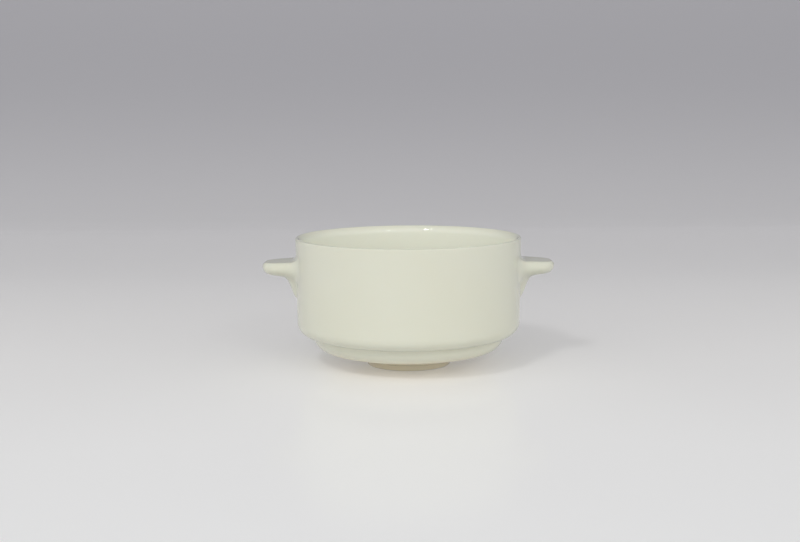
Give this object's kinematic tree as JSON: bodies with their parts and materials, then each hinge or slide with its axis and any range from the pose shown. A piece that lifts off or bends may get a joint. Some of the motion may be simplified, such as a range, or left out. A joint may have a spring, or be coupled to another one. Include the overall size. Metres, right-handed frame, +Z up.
{
  "type": "bouillon cup",
  "caption": "Low stacking soup cup in cream glazed porcelain with two solid lug handles, a stepped lower body and a foot ring.",
  "frame": {"origin": "centre of the foot ring's resting plane", "axes": "+Z up along the cup's axis, +X through one lug handle, +Y away from the viewer"},
  "size_m": [0.136, 0.105, 0.06],
  "materials": {
    "glazed_porcelain": "clear gloss glaze over cream body"
  },
  "bodies": {
    "root": {"bouillon_cup": "glazed_porcelain"}
  },
  "joints": []
}
